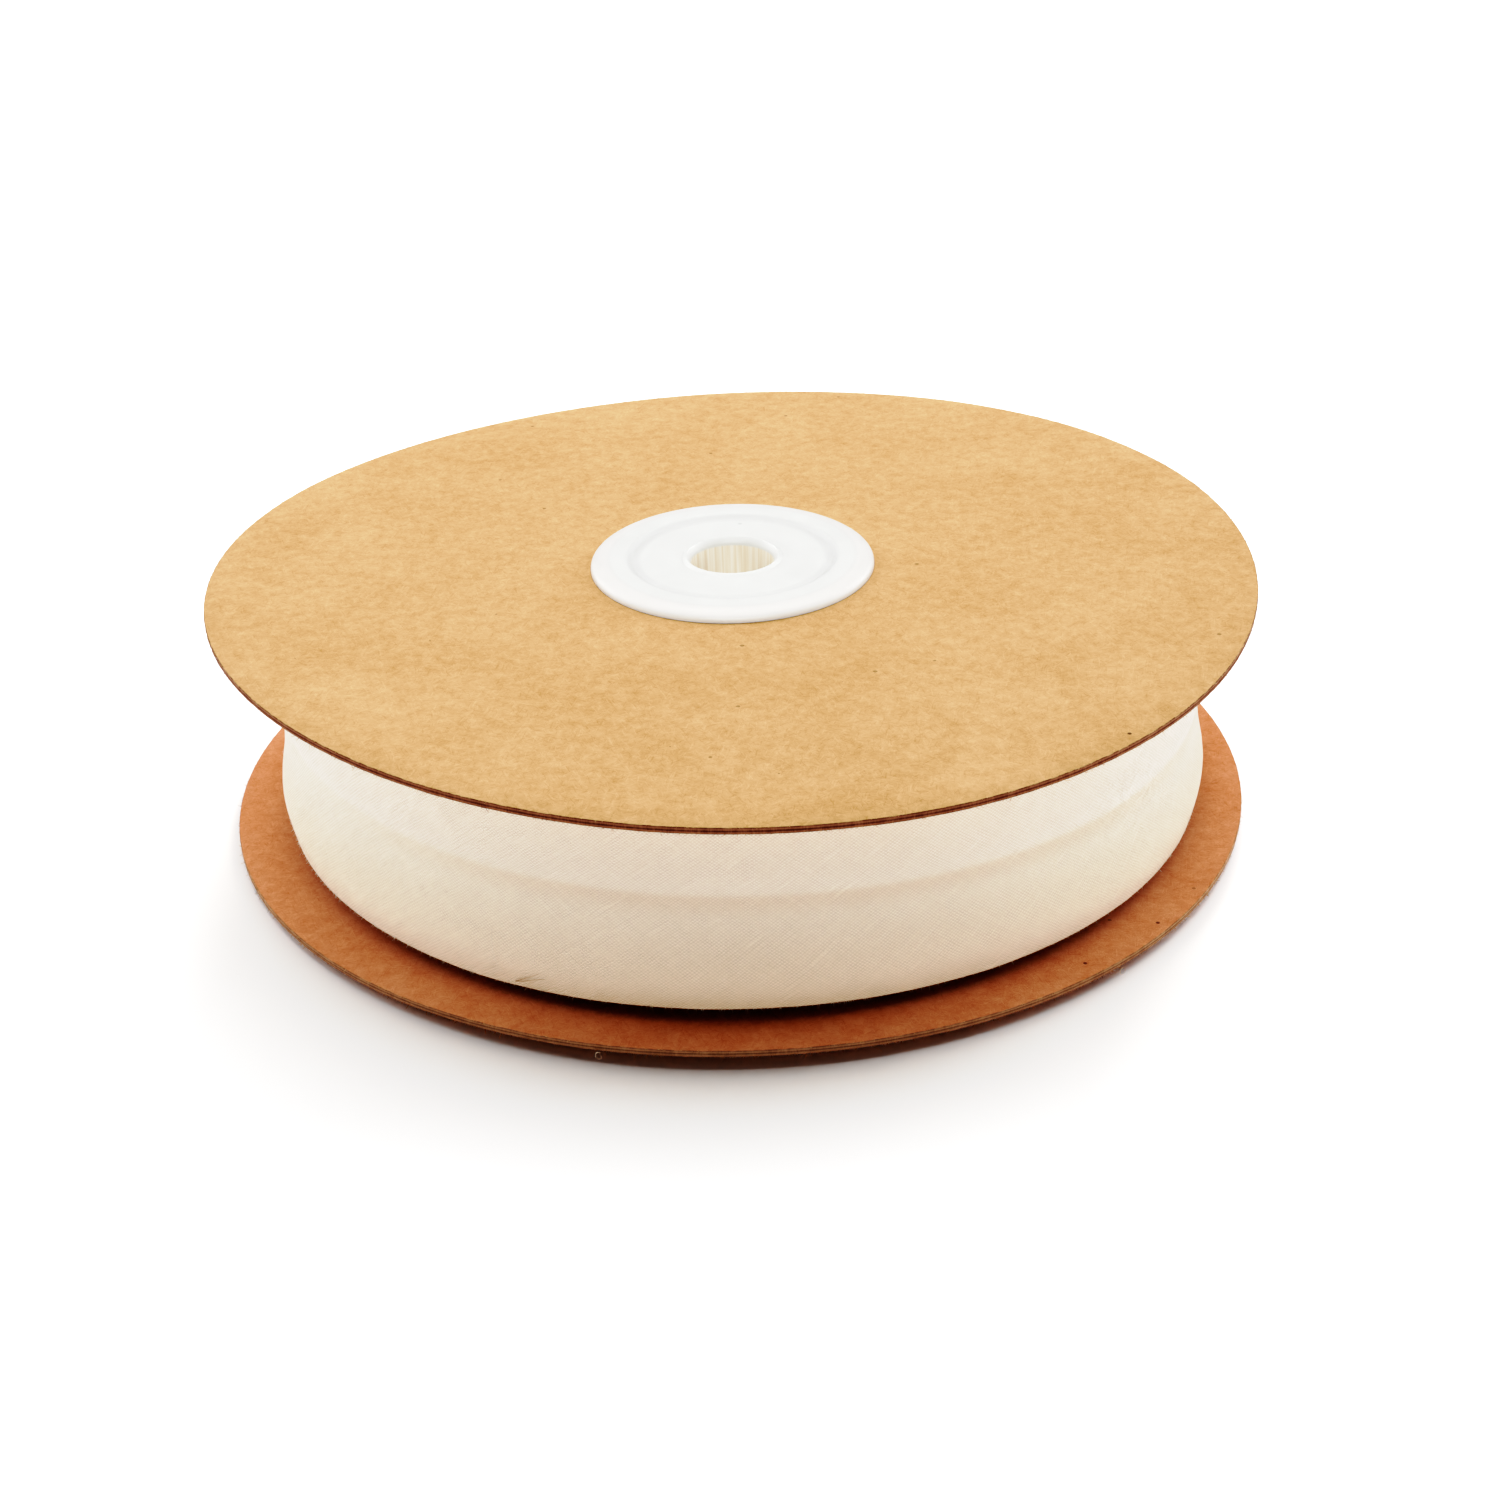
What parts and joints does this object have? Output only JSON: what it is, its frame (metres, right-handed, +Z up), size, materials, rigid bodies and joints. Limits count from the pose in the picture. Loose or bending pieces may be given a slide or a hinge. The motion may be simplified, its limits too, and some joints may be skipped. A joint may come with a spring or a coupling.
{
  "type": "reel of bias binding",
  "caption": "Reel of folded cream cotton bias binding wound on a white plastic hub between round kraft card flanges, with a spindle hole.",
  "frame": {"origin": "on the surface the reel stands on, under the middle of its outline and on the spindle axis", "axes": "+Z up the spindle axis from the lower flange to the upper one; +X to the right and +Y away from the viewer as the picture shows it"},
  "size_m": [0.1274, 0.1274, 0.0316],
  "materials": {
    "kraft_card": "uncoated brown board, matt, with fibres and small specks",
    "hub_plastic": "white moulded plastic, soft sheen, slightly see-through",
    "cotton_tape": "fine plain weave cut on the bias, pressed folds, matt"
  },
  "bodies": {
    "root": {"flange_lower": "kraft_card", "flange_upper": "kraft_card", "hub_lower": "hub_plastic", "hub_upper": "hub_plastic", "tape_roll": "cotton_tape"}
  },
  "joints": []
}
